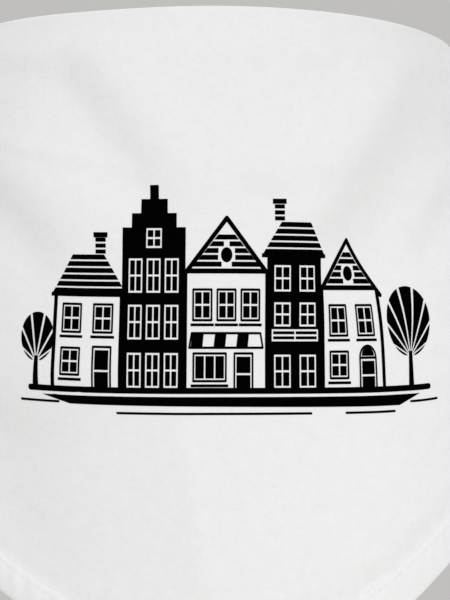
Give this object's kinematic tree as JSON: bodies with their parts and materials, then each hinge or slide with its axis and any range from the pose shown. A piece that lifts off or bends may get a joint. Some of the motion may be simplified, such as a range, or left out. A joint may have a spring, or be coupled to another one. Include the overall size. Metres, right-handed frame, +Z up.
{
  "type": "pet bandana",
  "caption": "Triangular pet bandana worn round a neck, with hemmed edges and its long corners tied at the back in a reef knot.",
  "frame": {"origin": "middle of the neck opening, level with the knot at the back", "axes": "+Z up along the neck, -Y the front where the point hangs, +X to the right of someone who looks at the front"},
  "size_m": [0.2254, 0.202, 0.207],
  "materials": {
    "cloth": "soft white polyester weave",
    "folded_edge": "the same cloth turned over and sewn",
    "thread": "white sewing thread",
    "print_ink": "matt black print on the cloth"
  },
  "bodies": {
    "root": {"cloth_panel": "cloth", "neck_fold": "folded_edge", "hem_left": "folded_edge", "hem_right": "folded_edge", "gather_left": "cloth", "gather_right": "cloth", "knot_left": "cloth", "knot_right": "cloth", "tail_left": "cloth", "tail_right": "cloth"}
  },
  "joints": []
}
